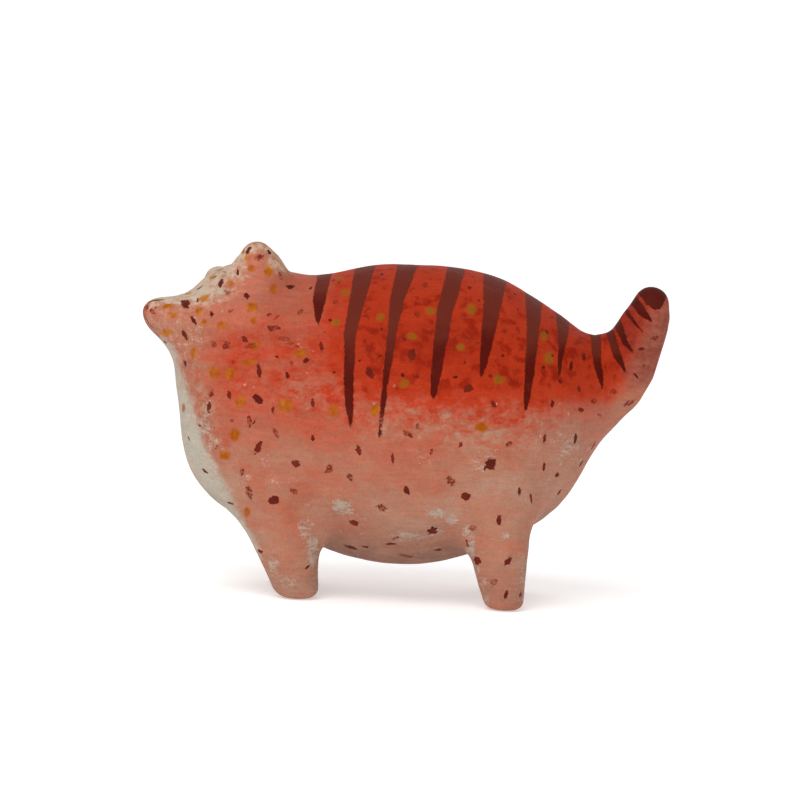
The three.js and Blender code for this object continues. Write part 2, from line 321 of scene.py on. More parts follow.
# cream over the brow, the ears and the muzzle
cream = np.maximum(step01(HZ, -1.0, 12.0) * (0.6 * step01(-X, 52.0, 66.0) + 0.7 * step01(-X, 68.0, 76.0)) * (1 - 0.12 * step01(HZ, 20.0, 26.0)), 0.44 * step01(-HX, 8.0, 22.0) * step01(Z, 86.0, 92.0))
cream = np.maximum(cream, 0.38 * step01(-X, 70.0, 80.0) * step01(Z, 80.0, 88.0))
cream = np.maximum(cream, np.maximum(0.85 * step01(HZ, 21.8, 26.2), 0.7 * step01(HZ, 14.0, 20.0) * step01(X, -55.0, -50.5)) * step01(-X, 40.0, 46.0))
cream = np.maximum(cream, np.maximum(0.95 * step01(HZ, 11.0, 17.0) * step01(-X, 57.0, 63.0), 1.05 * step01(HZ, 4.0, 9.0) * step01(-X, 72.0, 78.0)))
cream = np.maximum(cream, 0.95 * step01(HZ, 10.0, 16.0) * step01(HY, 4.0, 12.0) * step01(-X, 50.0, 60.0))
pale = np.maximum(np.exp(-((X - 42.0) / 16.0) ** 2 - ((Z - 46.0) / 17.0) ** 2), np.exp(-((X - 8.0) / 20.0) ** 2 - ((Z - 32.0) / 14.0) ** 2))
pale = np.maximum(pale, 0.5 * step01(-Z, -30.0, -20.0))
pale = np.maximum(pale, 0.35 * np.exp(-((X + 48.0) / 18.0) ** 2 - ((Z - 52.0) / 12.0) ** 2))
pale = np.maximum(pale, 0.9 * np.exp(-((X + 61.0) / 8.0) ** 2 - ((Z - 40.0) / 11.0) ** 2))
deep = np.exp(-((X - 12.0) / 42.0) ** 2 - ((Z - 96.0) / 13.0) ** 2)
warm = np.exp(-((X + 2.0) / 18.0) ** 2 - ((Z - 58.0) / 12.0) ** 2)
blush = np.exp(-((X + 52.5) / 9.0) ** 2 - ((Z - 107.0) / 9.0) ** 2)
shoulder = np.exp(-((X + 31.0) / 9.0) ** 2 - ((Z - 85.0) / 13.0) ** 2)
redness = 0.29 + (0.58 + 0.16 * tail) * ruddy + 0.25 * flush * (1 - ruddy) - 0.07 * low - 0.05 * rear * (1 - ruddy) - 0.04 * head_area - 0.11 * pale * (1 - ruddy) + 0.14 * deep * ruddy + 0.06 * warm + 0.17 * blush - 0.06 * shoulder - 0.07 * step01(-X, 26.0, 36.0) * step01(Z, 94.0, 106.0) * (1 - ruddy)
# sponged hardest along the lower edge of the red and over the shoulder
mottle = np.exp(-((Z - edge) / 10.0) ** 2) * step01(X, -60.0, -40.0) * step01(-X, -72.0, -50.0)
mottle = np.maximum(mottle, 0.5 * flush * (1 - ruddy))
bib_edge = np.interp(Z, [20, 34, 45, 58, 68, 79, 90, 98], [-50, -59, -65, -71.5, -75.5, -80, -84.5, -90])
bib = step01(bib_edge - X, -4.5, 6.0) * step01(-Z, -100.0, -90.0) * (1 - 0.22 * step01(Z, 66.0, 84.0))
mottle = np.maximum(mottle, 0.7 * np.exp(-((X - bib_edge - 4.0) / 5.0) ** 2) * step01(Z, 48.0, 60.0) * step01(-Z, -96.0, -84.0))
# thin white dragged over the pink: [x, z, rx, rz, strength]
SCUMBLES = [(-20.0, 35.5, 5, 5, 1.0), (-15, 31, 5, 3, 0.7), (-33, 27, 4, 5, 1.0), (-30.5, 18, 3, 9, 1.0), (-40, 7, 8, 5, 0.8), (-45, 13, 3, 6, 0.85), (14.4, 35.6, 5, 2.4, 1.0), (20, 33, 3, 3, 1.0),
            (25.5, 29, 2.4, 4, 1.0), (27.5, 22, 2.2, 9, 1.0), (39.7, 28.6, 2.6, 2.6, 0.9), (33, 8, 4, 7, 0.8), (44, 6, 7, 4, 0.6), (62, 60, 10, 10, 0.7), (54, 50, 9, 8, 0.5), (-72, 66, 3.5, 11, 0.9),
            (-69, 57, 3, 5, 0.8), (-48, 52, 8, 4, 0.6), (-45, 44, 7, 3, 0.6), (-39, 44.5, 4, 3, 0.5), (-58, 44, 5, 4, 0.6), (24, 73, 6, 3.5, 0.2), (13.5, 73.5, 7, 3, 0.2), (4, 75, 5, 4, 0.25), (-9, 78, 5, 6, 0.3),
            (6, 25, 13, 3.6, 0.85), (15, 27.5, 6, 3.4, 0.78), (-12, 26, 8, 3, 0.5), (-31.5, 33, 4, 6, 0.7), (-2, 50, 14, 6, 0.35), (8, 56, 8, 5, 0.5), (30, 56, 9, 9, 0.6), (-34, 88, 6, 5, 0.6), (-38.7, 94.4, 6, 4, 0.5), (-58.6, 91, 4, 3, 0.6), (-65, 113, 7, 6, 0.55), (-70, 112, 8, 6, 0.75), (-52, 108, 8, 5, 0.15),
            (-61, 119, 5, 4, 0.8), (-80, 111, 9, 3, 0.8), (-78, 97, 5, 7, 0.7), (-84, 99, 5, 4, 0.6)]
white = np.zeros(len(X))
for x, z, rx, rz, strength in SCUMBLES:
    white = np.maximum(white, strength * step01(1.6 - np.hypot((X - x) / rx, (Z - z) / rz), 0.0, 1.3))
white = np.maximum(white, 0.6 * step01(HZ, 4.0, 20.0) * step01(-X, 54.0, 68.0))
white = np.maximum(white, 0.6 * step01(-Z, -98.0, -92.0) * step01(Z, 84.0, 92.0) * step01(-X, 78.0, 86.0))
white = np.maximum(white, 0.75 * step01(np.abs(normals[:, 0]), 0.45, 0.85) * step01(-Z, -32.0, -18.0))
white = np.maximum(white, 0.55 * step01(-normals[:, 2], 0.45, 0.85) * step01(Z, 4.0, 10.0))

# the nose: a warm red patch round the tip of the muzzle
nose_at = np.array([MUZZLE["at"][0] - 13.0, 0.0, MUZZLE["at"][2] + 5.0])
nose = step01(5.6 - np.sqrt(((HX - nose_at[0]) / 1.1) ** 2 + (HY / 1.3) ** 2 + ((HZ - nose_at[2]) / 0.8) ** 2), 0.0, 3.5)
# painted shade underneath: darker and greyer on the faces turned down and low near the floor
underside_shade = np.maximum(step01(-normals[:, 2], 0.45, 0.98) * step01(Z, 1.0, 14.0), 0.35 * step01(-Z, -18.0, -6.0))

# ---------------------------------------------------------------- single touches of the brush
# on the left side: (x, z, half length, half width, angle), and for the dark ones a kind:
# 0 full, 1 broken by the dry brush, 2 thin and reddish
DARK = [
    (-97.8, 100.5, 1.9, 0.6, 135, 0), (-97.5, 104.9, 1.2, 0.8, 105, 0), (-95.3, 103.3, 1.7, 0.8, 160, 1), (-94.8, 107.6, 3.9, 0.6, 160, 0),
    (-93.9, 105.1, 1.0, 0.6, 10, 2), (-93.8, 94.4, 2.6, 0.5, 10, 1), (-90.5, 91.9, 1.3, 0.7, 55, 0), (-82.8, 107.0, 2.7, 1.6, 120, 0),
    (-82.0, 95.4, 2.2, 1.0, 130, 0), (-81.6, 84.8, 1.6, 0.9, 150, 0), (-79.1, 101.1, 2.3, 0.7, 125, 0), (-78.9, 57.1, 1.4, 0.6, 170, 0),
    (-78.3, 108.6, 1.2, 0.5, 95, 0), (-78.1, 113.0, 1.7, 0.6, 0, 0), (-76.8, 119.0, 1.0, 0.5, 30, 0), (-76.5, 117.4, 2.8, 0.5, 50, 0),
    (-74.1, 62.7, 1.2, 0.4, 170, 0), (-72.6, 117.1, 1.1, 0.5, 35, 1), (-72.1, 103.8, 1.2, 0.9, 110, 0), (-72.0, 45.7, 1.8, 0.8, 15, 0),
    (-71.8, 120.1, 3.0, 0.4, 140, 0), (-70.8, 69.9, 2.0, 1.1, 80, 0), (-70.4, 92.9, 1.5, 1.0, 140, 2), (-70.3, 74.7, 1.5, 1.1, 35, 1),
    (-69.7, 115.3, 2.5, 1.1, 85, 0), (-69.0, 119.5, 2.5, 0.2, 115, 1), (-67.5, 55.4, 1.4, 0.5, 55, 2), (-66.8, 111.9, 1.9, 0.7, 130, 2),
    (-65.7, 92.6, 1.6, 1.3, 55, 1), (-64.9, 105.4, 1.0, 0.6, 0, 2), (-63.5, 119.6, 1.5, 0.7, 105, 0), (-63.4, 75.0, 1.5, 0.8, 105, 0),
    (-62.7, 86.9, 1.0, 0.8, 100, 2), (-62.0, 65.8, 0.9, 0.5, 0, 2), (-61.8, 34.5, 2.2, 0.5, 35, 0), (-59.9, 128.0, 1.7, 0.9, 60, 0),
    (-59.4, 111.1, 1.4, 0.9, 125, 0), (-59.0, 95.5, 1.4, 0.9, 135, 0), (-57.5, 46.9, 1.6, 0.8, 95, 1), (-56.7, 93.1, 2.1, 1.2, 15, 2),
    (-55.6, 125.6, 1.6, 1.1, 25, 1), (-55.5, 66.1, 2.1, 0.9, 100, 1), (-54.7, 39.4, 2.5, 1.3, 105, 1), (-53.8, 65.7, 0.9, 0.4, 60, 0),
    (-53.0, 84.5, 2.4, 0.9, 100, 0), (-52.6, 74.1, 2.1, 1.3, 140, 0), (-52.2, 127.7, 1.1, 0.8, 145, 0), (-51.8, 56.5, 2.6, 1.2, 65, 0),
    (-50.6, 104.8, 1.2, 0.6, 20, 1), (-49.9, 17.3, 1.8, 0.8, 30, 0), (-48.9, 99.9, 2.5, 1.0, 10, 1), (-48.0, 103.8, 1.4, 0.4, 50, 1),
    (-47.9, 119.7, 1.1, 0.7, 150, 2), (-47.3, 118.0, 1.1, 0.4, 25, 2), (-47.0, 70.8, 1.1, 0.5, 85, 0), (-46.8, 89.7, 0.8, 0.4, 150, 0),
    (-45.5, 62.2, 1.9, 0.8, 120, 2), (-45.4, 37.3, 1.9, 1.6, 40, 0), (-44.7, 96.3, 2.6, 0.7, 175, 2), (-43.9, 115.2, 2.0, 0.9, 45, 0),
    (-42.6, 83.2, 1.5, 0.7, 100, 0), (-42.3, 94.8, 1.7, 0.6, 15, 2), (-41.3, 87.7, 1.3, 0.7, 105, 2), (-39.4, 93.8, 1.4, 0.4, 170, 2),
    (-39.4, 106.4, 1.4, 1.0, 55, 2), (-38.3, 41.0, 1.5, 0.9, 145, 1), (-37.9, 51.4, 1.7, 1.3, 145, 0), (-36.4, 115.2, 1.2, 0.5, 80, 0),
    (-36.0, 89.0, 1.1, 0.9, 20, 0), (-32.7, 73.9, 1.6, 0.7, 95, 0), (-32.1, 61.1, 1.2, 0.6, 95, 0), (-32.0, 12.6, 1.2, 0.5, 35, 0),
    (-30.9, 94.5, 1.9, 0.8, 105, 0), (-30.1, 99.6, 0.6, 0.4, 170, 2), (-28.3, 118.4, 1.2, 0.8, 110, 2), (-26.8, 110.6, 1.3, 1.1, 85, 2),
    (-26.1, 117.8, 1.2, 0.6, 85, 2), (-25.7, 50.0, 2.1, 1.2, 65, 1), (-18.1, 47.4, 1.6, 1.0, 120, 1), (-16.7, 19.2, 2.4, 1.6, 170, 0),
    (-15.8, 29.9, 2.0, 1.3, 135, 0), (-15.3, 57.6, 1.8, 0.9, 110, 0), (-15.1, 105.9, 1.4, 0.5, 140, 2), (-14.9, 108.3, 1.5, 0.6, 50, 2),
    (-13.7, 94.2, 1.7, 0.8, 120, 2), (-12.6, 86.0, 2.2, 1.2, 125, 0), (-11.2, 20.2, 1.4, 0.9, 165, 0), (-10.2, 121.6, 1.1, 0.7, 95, 0),
    (-5.9, 36.5, 2.0, 1.3, 145, 1), (-2.8, 55.5, 1.7, 0.6, 95, 0), (-2.0, 22.1, 1.9, 0.7, 10, 0), (-0.3, 24.5, 1.4, 0.7, 45, 1),
    (1.4, 117.0, 0.6, 0.6, 85, 2), (2.2, 64.6, 2.1, 0.9, 155, 1), (2.4, 93.1, 2.3, 1.2, 95, 0), (2.9, 43.7, 1.8, 1.0, 110, 0),
    (3.2, 113.8, 0.9, 0.8, 80, 2), (3.6, 107.8, 1.6, 1.0, 110, 2), (4.0, 17.2, 3.2, 1.3, 145, 1), (5.6, 67.6, 1.2, 0.7, 85, 1),
    (5.9, 118.4, 1.5, 1.1, 90, 2), (9.7, 101.7, 1.7, 1.1, 40, 2), (11.1, 58.5, 1.2, 0.5, 80, 1), (13.2, 28.4, 2.1, 1.7, 65, 0),
    (15.8, 20.2, 1.6, 0.9, 180, 0), (18.8, 47.7, 2.3, 1.3, 130, 1), (20.6, 107.7, 2.1, 1.1, 85, 2), (21.6, 61.6, 1.2, 0.7, 65, 1),
    (22.3, 118.2, 1.1, 0.7, 80, 0), (22.8, 100.0, 2.6, 0.6, 175, 2), (23.2, 82.1, 1.9, 1.4, 15, 0), (24.6, 42.3, 1.7, 1.5, 55, 0),
    (26.2, 24.0, 1.8, 0.6, 110, 1), (26.6, 98.4, 1.7, 0.5, 0, 2), (27.7, 30.3, 1.8, 1.0, 35, 2), (30.0, 18.0, 2.2, 1.3, 35, 0),
    (32.7, 54.7, 2.4, 2.0, 70, 0), (32.7, 76.8, 1.4, 0.8, 125, 0), (35.7, 103.2, 1.1, 0.8, 40, 2), (36.5, 10.8, 2.0, 1.2, 35, 2),
    (37.2, 34.2, 1.9, 0.9, 90, 0), (38.6, 84.5, 1.1, 0.7, 10, 2), (39.2, 62.4, 1.4, 1.0, 25, 1), (40.6, 103.7, 1.6, 0.8, 85, 2),
    (41.3, 6.6, 1.7, 0.7, 75, 0), (41.5, 19.0, 1.9, 1.1, 50, 0), (44.1, 45.0, 1.6, 0.7, 95, 0), (46.9, 6.5, 0.9, 0.7, 60, 0),
    (48.8, 42.3, 2.2, 0.5, 105, 0), (50.6, 90.6, 0.9, 0.5, 25, 0), (52.4, 64.7, 1.5, 0.6, 80, 0), (52.7, 54.2, 1.9, 0.7, 90, 0),
    (54.8, 77.5, 1.3, 0.9, 100, 0), (58.1, 51.0, 1.2, 0.9, 145, 0), (59.9, 43.8, 1.4, 0.9, 55, 0), (61.3, 91.4, 1.8, 0.9, 85, 0),
    (63.5, 99.6, 2.5, 0.7, 55, 2), (64.3, 64.4, 1.8, 1.0, 85, 0), (64.6, 82.9, 1.1, 0.8, 85, 0), (65.6, 75.3, 1.6, 0.8, 180, 0),
    (66.2, 94.6, 1.8, 0.8, 85, 0), (67.8, 54.5, 1.6, 0.9, 0, 0), (70.5, 78.5, 1.7, 0.9, 180, 1), (72.3, 61.4, 1.8, 0.9, 50, 0),
    (73.3, 73.4, 1.8, 0.5, 145, 2), (77.8, 92.5, 1.1, 0.5, 5, 2), (78.4, 87.6, 1.2, 0.8, 15, 2), (78.4, 82.1, 1.6, 0.8, 0, 2),
    (85.3, 77.8, 2.8, 1.2, 175, 1), (86.8, 88.4, 1.4, 0.5, 145, 0), (88.4, 98.5, 1.3, 0.5, 5, 0), (89.6, 92.4, 0.9, 0.4, 5, 2),
    (93.7, 102.8, 1.6, 0.8, 5, 1),
]
OCHRE = [
    (-89.7, 95.5, 3.6, 1.3, 40), (-89.2, 105.7, 1.9, 1.1, 170), (-87.2, 102.5, 2.4, 1.0, 5), (-82.6, 110.8, 1.7, 1.2, 130),
    (-81.7, 68.2, 2.3, 1.6, 20), (-78.3, 89.0, 2.2, 1.9, 15), (-77.1, 104.6, 1.8, 1.3, 100), (-75.5, 109.5, 2.3, 1.7, 155),
    (-75.2, 100.8, 1.8, 0.9, 165), (-73.5, 117.2, 1.7, 1.1, 130), (-69.6, 82.6, 2.7, 2.2, 170), (-67.7, 100.0, 2.0, 1.4, 165),
    (-66.1, 115.4, 1.8, 1.1, 145), (-64.4, 52.8, 2.4, 1.6, 25), (-63.6, 82.6, 2.3, 2.2, 125), (-62.1, 127.4, 1.3, 0.9, 135),
    (-60.8, 60.8, 2.0, 1.9, 65), (-60.3, 125.0, 1.2, 0.9, 45), (-59.1, 72.7, 1.9, 1.4, 175), (-59.0, 72.8, 2.0, 1.8, 55),
    (-58.5, 121.3, 1.5, 1.1, 175), (-57.2, 107.0, 2.0, 1.9, 50), (-56.8, 87.1, 2.6, 1.1, 5), (-56.2, 102.5, 1.2, 0.9, 95),
    (-55.1, 32.1, 2.1, 1.3, 75), (-52.0, 120.7, 2.0, 1.7, 85), (-49.7, 114.2, 1.8, 1.5, 75), (-42.6, 72.3, 2.7, 2.3, 10),
    (-38.7, 91.2, 1.8, 1.4, 180), (-37.7, 91.8, 1.6, 1.4, 170), (-55.1, 93.3, 1.7, 1.3, 15), (-26.1, 103.3, 1.7, 1.3, 155),
    (-26.0, 119.3, 2.4, 1.2, 100), (-24.9, 71.5, 2.2, 1.9, 95), (-23.3, 114.3, 2.4, 1.7, 105), (-10.0, 72.6, 1.9, 1.6, 60),
    (-9.8, 106.2, 1.8, 1.6, 85), (-0.1, 82.8, 1.9, 1.7, 5), (2.0, 99.7, 1.7, 1.5, 5), (8.2, 109.2, 1.8, 1.7, 15),
    (19.7, 96.7, 1.4, 1.4, 50), (23.4, 110.4, 2.7, 1.8, 85), (28.7, 68.2, 2.2, 1.8, 180), (33.7, 85.8, 1.9, 1.3, 90),
    (34.6, 85.5, 1.8, 1.5, 10), (50.8, 102.1, 2.4, 1.4, 65), (52.5, 93.9, 2.6, 1.9, 55),
]


def find_left(x, z):
    """The point of the left side at this x and z."""
    y = -60.0
    for _ in range(90):
        d = float(form(np.array([x, y, z])))
        if d < 0.01:
            break
        y += 0.7 * max(d, 0.02)
        if y > 20:
            return None
    return np.array([x, y, z])


def tangents(n):
    t1 = np.array([1.0, 0, 0]) - n[0] * n
    if np.linalg.norm(t1) < 0.2:
        t1 = np.array([0, -1.0, 0]) + n[1] * n
    t1 = unit(t1)
    t2 = np.cross(t1, n)
    return t1, (t2 if t2[2] >= 0 else -t2)


def place(p, length, width, angle, seed):
    n = unit(slope(p))
    t1, t2 = tangents(n)
    a = math.radians(angle)
    u = math.cos(a) * t1 + math.sin(a) * t2
    return dict(p=p, n=n, u=u / length, v=np.cross(n, u) / width, reach=4.0 * max(length, width), seed=seed)


touch_rng = np.random.RandomState(23)
dark, ochre = [], []
KIND_SEED = ((0.0, 0.55), (0.6, 0.78), (0.82, 1.0))        # the seed tells the paint which kind it is
for x, z, length, width, angle, kind in DARK:
    p = find_left(x, z)
    if p is not None:
        dark.append(place(p, length, width, angle, touch_rng.uniform(*KIND_SEED[kind])))
for x, z, length, width, angle in OCHRE:
    p = find_left(x, z)
    if p is not None:
        ochre.append(place(p, length, width, angle, touch_rng.uniform()))

# the far eye and a few marks of the face, opposite those in view
eye = find_left(-82.9, 107.1)
ehx, ehy, ehz = to_head(eye[0] + CENTRE_X, eye[1], eye[2])


def settle(p):
    for _ in range(12):
        g = slope(p)
        p = p - g * float(form(p)) / max(float(g @ g), 1e-6)
    return p


far_eye = settle(from_head(ehx, -ehy, ehz))
dark.append(place(far_eye, 2.5, 1.9, 70, 0.1))
for hx, hy, hz, length, width, angle, seed in (
        (-36.0, 0.4, 5.4, 2.0, 1.25, 0, 0.2), (-35.2, 0.4, 2.2, 1.5, 0.38, 90, 0.2), (-33.6, 2.6, -0.6, 2.2, 0.42, 22, 0.25), (-33.6, -1.9, -0.6, 2.0, 0.42, 158, 0.25),
        (-28, 8, 4, 1.3, 0.7, 60, 0.9), (-24, 3, 10, 1.4, 0.7, 10, 0.2), (-18, 9, 13, 1.6, 0.8, 50, 0.7), (-12, 2, 18, 1.5, 0.8, 120, 0.3), (-22, 13, -2, 1.8, 0.6, 100, 0.4), (-15, 19, -3, 1.7, 0.9, 70, 0.1)):
    dark.append(place(settle(from_head(hx, hy, hz)), length, width, angle, seed))


def scatter(store, allowed, how_many, spacing, sizes):
    """Further touches, spread over what the left side view doesn't show."""
    choice = np.flatnonzero(allowed)
    placed = [t["p"] for t in store]
    for _ in range(how_many * 12):
        if how_many <= 0:
            break
        p = base_points[choice[touch_rng.randint(len(choice))]]
        if placed and min(np.linalg.norm(np.array(placed) - p, axis=1)) < spacing * touch_rng.uniform(0.7, 1.5):
            continue
        length = touch_rng.uniform(*sizes)
        store.append(place(p, length, length * touch_rng.uniform(0.4, 0.85), touch_rng.uniform(0, 180), touch_rng.uniform()))
        placed.append(p)
        how_many -= 1


unseen = (normals[:, 1] > -0.12) & (Z > 3.0)
scatter(dark, unseen & (stripe_field > 0.5) & (Z < 84), 105, 9.0, (0.9, 2.1))
clear = (np.linalg.norm(base_points - far_eye, axis=1) > 8.5) & (np.linalg.norm(base_points - settle(from_head(-35.0, 0.0, 2.0)), axis=1) > 11.0)      # round the eye and the nose
scatter(dark, unseen & clear & (stripe_field > 0.8) & (Z >= 84), 42, 7.0, (0.8, 1.7))
scatter(ochre, unseen & (Z > 78) & (stripe_field > 2.2), 26, 11.0, (1.5, 2.1))
scatter(ochre, unseen & clear & (X < -42) & (Z > 52) & (bib < 0.3), 26, 8.0, (1.5, 2.5))
scatter(dark, unseen & clear & (head_area > 0.5), 14, 6.0, (0.8, 1.4))

# faint small flecks over the red
left_back = (normals[:, 1] < -0.3) & (X > -40) & (X < 76) & (Z > 84) & (stripe_field > 1.6)
scatter(dark, left_back, 26, 5.5, (0.5, 0.95))

centres = points[quads].mean(1)
facing = unit(np.cross(points[quads[:, 2]] - points[quads[:, 0]], points[quads[:, 3]] - points[quads[:, 1]]))


def touch_map(touches):
    """For each face corner, where it lies in the nearest touch of the brush: along, across, and that touch's seed."""
    best = np.full(len(centres), 3.2)
    owner = -np.ones(len(centres), int)
    for k, t in enumerate(touches):
        near = np.flatnonzero((np.abs(centres - t["p"]) < t["reach"]).all(1))
        near = near[(facing[near] @ t["n"]) > 0.2]
        q = centres[near] - t["p"]
        r = np.hypot(q @ t["u"], q @ t["v"])
        better = r < best[near]
        best[near[better]], owner[near[better]] = r[better], k
    out = np.full((len(quads), 4, 3), 9.0)
    has = np.flatnonzero(owner >= 0)
    P = np.array([t["p"] for t in touches])[owner[has]]
    U = np.array([t["u"] for t in touches])[owner[has]]
    V = np.array([t["v"] for t in touches])[owner[has]]
    S = np.array([t["seed"] for t in touches])[owner[has]]
    q = points[quads[has]] - P[:, None]
    out[has, :, 0] = (q * U[:, None]).sum(-1)
    out[has, :, 1] = (q * V[:, None]).sum(-1)
    out[has, :, 2] = S[:, None]
    return out.reshape(-1, 3)


dark_map, ochre_map = touch_map(dark), touch_map(ochre)

# ---------------------------------------------------------------- the mesh
mesh = bpy.data.meshes.new("cat_skin")
mesh.from_pydata((points / 1000.0).tolist(), [], quads.tolist())
mesh.update()
mesh.polygons.foreach_set("use_smooth", np.ones(len(mesh.polygons), bool))


def point_values(name, values):
    a = mesh.attributes.new(name, "FLOAT", "POINT")
    a.data.foreach_set("value", np.ascontiguousarray(values, np.float32))


def corner_values(name, values):
    a = mesh.attributes.new(name, "FLOAT_VECTOR", "CORNER")
    a.data.foreach_set("vector", np.ascontiguousarray(values, np.float32).ravel())


for name, values in dict(stripe=stripe_field, stripe_run=stripe_run, redness=redness, ruddy=ruddy, mottle=mottle, cream=cream, bib=bib, tail=tail, rear=rear, head_area=head_area, white=white, nose=nose, underside_shade=underside_shade).items():
    point_values(name, values)
corner_values("dark_touch", dark_map)
corner_values("ochre_touch", ochre_map)

cat = bpy.data.objects.new("painted_cat", mesh)
bpy.context.scene.collection.objects.link(cat)
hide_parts(NODE)
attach(cat, "root")

# ---------------------------------------------------------------- the paint itself
def lin(r, g, b):
    """A colour as mixed on the palette (0 to 255), as the renderer wants it."""
    return tuple((c / 255 / 12.92) if c / 255 <= 0.04045 else ((c / 255 + 0.055) / 1.055) ** 2.4 for c in (r, g, b)) + (1.0,)


class Paint:
    """Short names for the nodes of one material."""

    def __init__(self, name):
        self.material = bpy.data.materials.new(name)
        self.material.use_nodes = True
        self.tree = self.material.node_tree
        self.tree.nodes.clear()
        self.out = self.tree.nodes.new("ShaderNodeOutputMaterial")
        self.shader = self.tree.nodes.new("ShaderNodeBsdfPrincipled")
        self.tree.links.new(self.shader.outputs["BSDF"], self.out.inputs["Surface"])
        self.where = self.tree.nodes.new("ShaderNodeTexCoord").outputs["Object"]

    def put(self, socket, value):
        if isinstance(value, bpy.types.NodeSocket):
            self.tree.links.new(value, socket)
        else:
            socket.default_value = value

    def math(self, op, a, b=0.0, c=0.0, clamp=False):
        n = self.tree.nodes.new("ShaderNodeMath")
        n.operation, n.use_clamp = op, clamp
        for socket, value in zip(n.inputs, (a, b, c)):
            self.put(socket, value)
        return n.outputs[0]

    def add(self, *terms):
        total = terms[0]
        for t in terms[1:]:
            total = self.math("ADD", total, t)
        return total

    def times(self, a, b):
        return self.math("MULTIPLY", a, b)

    def about(self, noise, amount):
        """Noise as a plus or minus, at most half the amount."""
        return self.math("MULTIPLY_ADD", noise, amount, -0.5 * amount)

    def ramp(self, value, a, b, lo=0.0, hi=1.0):
        n = self.tree.nodes.new("ShaderNodeMapRange")
        n.interpolation_type = "SMOOTHSTEP"
        for name, v in (("Value", value), ("From Min", a), ("From Max", b), ("To Min", lo), ("To Max", hi)):
            self.put(n.inputs[name], v)
        return n.outputs["Result"]

    def value(self, name):
        n = self.tree.nodes.new("ShaderNodeAttribute")
        n.attribute_name = name
        return n.outputs["Fac"]

    def vector(self, name):
        n = self.tree.nodes.new("ShaderNodeAttribute")
        n.attribute_name = name
        return n.outputs["Vector"]

    def stretched(self, sx, sy, sz, turn=(0, 0, 0)):
        n = self.tree.nodes.new("ShaderNodeMapping")
        self.put(n.inputs["Vector"], self.where)
        n.inputs["Scale"].default_value = (sx, sy, sz)
        n.inputs["Rotation"].default_value = turn
        return n.outputs["Vector"]

    def noise(self, size_mm, detail=3.0, rough=0.55, at=None, distort=0.0, shift=0.0):
        n = self.tree.nodes.new("ShaderNodeTexNoise")
        n.noise_dimensions = "4D" if shift else "3D"
        self.put(n.inputs["Vector"], at or self.where)
        n.inputs["Scale"].default_value = 1000.0 / size_mm
        n.inputs["Detail"].default_value = detail
        n.inputs["Roughness"].default_value = rough
        n.inputs["Distortion"].default_value = distort
        if shift:
            n.inputs["W"].default_value = shift
        return n.outputs["Fac"]

    def cells(self, size_mm, shift=0.0):
        n = self.tree.nodes.new("ShaderNodeTexVoronoi")
        n.voronoi_dimensions = "3D"
        self.put(n.inputs["Vector"], self.where)
        n.inputs["Scale"].default_value = 1000.0 / size_mm
        return n.outputs["Distance"], n.outputs["Color"]

    def parts(self, vector):
        n = self.tree.nodes.new("ShaderNodeSeparateXYZ")
        self.put(n.inputs[0], vector)
        return n.outputs

    def mix(self, amount, a, b):
        n = self.tree.nodes.new("ShaderNodeMix")
        n.data_type = "RGBA"
        self.put(n.inputs[0], amount)
        self.put(n.inputs[6], a)
        self.put(n.inputs[7], b)
        return n.outputs[2]


m = Paint("painted_papier_mache")
big, mid, fine, grain = m.noise(26, 3, 0.5), m.noise(8.5, 4, 0.6), m.noise(2.6, 3, 0.6), m.noise(0.8, 2, 0.6)
patchy = m.noise(13, 5, 0.62, distort=0.6, shift=3.1)
sponge = m.noise(3.6, 4, 0.62, at=m.stretched(0.75, 0.75, 1.0), distort=0.4, shift=8.2)
streak = m.noise(5.0, 4, 0.65, at=m.stretched(0.22, 0.22, 1.0), shift=1.7)      # long strokes along the body
drag = m.noise(1.9, 4, 0.7, at=m.stretched(0.40, 0.40, 1.0, (0, 0.25, 0)), shift=5.3)
bristle = m.noise(0.9, 3, 0.6, at=m.stretched(0.16, 0.16, 1.0), shift=9.4)

# from pale pink below, through orange-pink, to red on the back, one wet into the other
dabbed = m.ramp(sponge, 0.36, 0.66)
blots = m.ramp(m.noise(2.3, 3, 0.6, at=m.stretched(0.6, 0.6, 1.0), distort=0.5, shift=4.9), 0.40, 0.66)
heat = m.add(m.value("redness"), m.about(big, 0.16), m.about(mid, 0.20), m.about(streak, 0.24), m.about(patchy, 0.22), m.about(fine, 0.18), m.about(drag, 0.14), m.times(m.value("ruddy"), m.about(m.ramp(m.noise(4.2, 2, 0.5, shift=7.7), 0.48, 0.70), 0.20)),
             m.times(m.value("mottle"), m.add(m.about(dabbed, 0.27), m.about(blots, 0.22), m.about(patchy, 0.36))))
ramp = m.tree.nodes.new("ShaderNodeValToRGB")
STOPS = [(0.02, (178, 144, 124)), (0.16, (172, 120, 98)), (0.30, (172, 98, 76)), (0.46, (176, 80, 58)), (0.64, (174, 58, 33)), (0.82, (168, 48, 20)), (1.0, (140, 30, 9))]
while len(ramp.color_ramp.elements) < len(STOPS):
    ramp.color_ramp.elements.new(0.5)
for element, (at, rgb) in zip(ramp.color_ramp.elements, STOPS):
    element.position, element.color = at, lin(*rgb)
m.put(ramp.inputs["Fac"], heat)
colour = ramp.outputs["Color"]
# rear flank and tail: greyer, dustier pink; on the tail's outer side darker, partly its paint and partly painted shade
# where it turns from the light
dusty = m.times(m.ramp(m.add(m.value("rear"), m.about(mid, 0.5)), 0.2, 0.9), 0.30)
colour = m.mix(dusty, colour, lin(170, 118, 98))
tail_dark_and_shade = m.times(m.ramp(m.add(m.value("tail"), m.about(mid, 0.4), m.times(m.value("ruddy"), -0.62)), 0.15, 0.8), 0.85)
colour = m.mix(tail_dark_and_shade, colour, m.mix(m.ramp(m.add(streak, m.about(fine, 0.5)), 0.35, 0.65), lin(130, 60, 46), lin(148, 82, 67)))
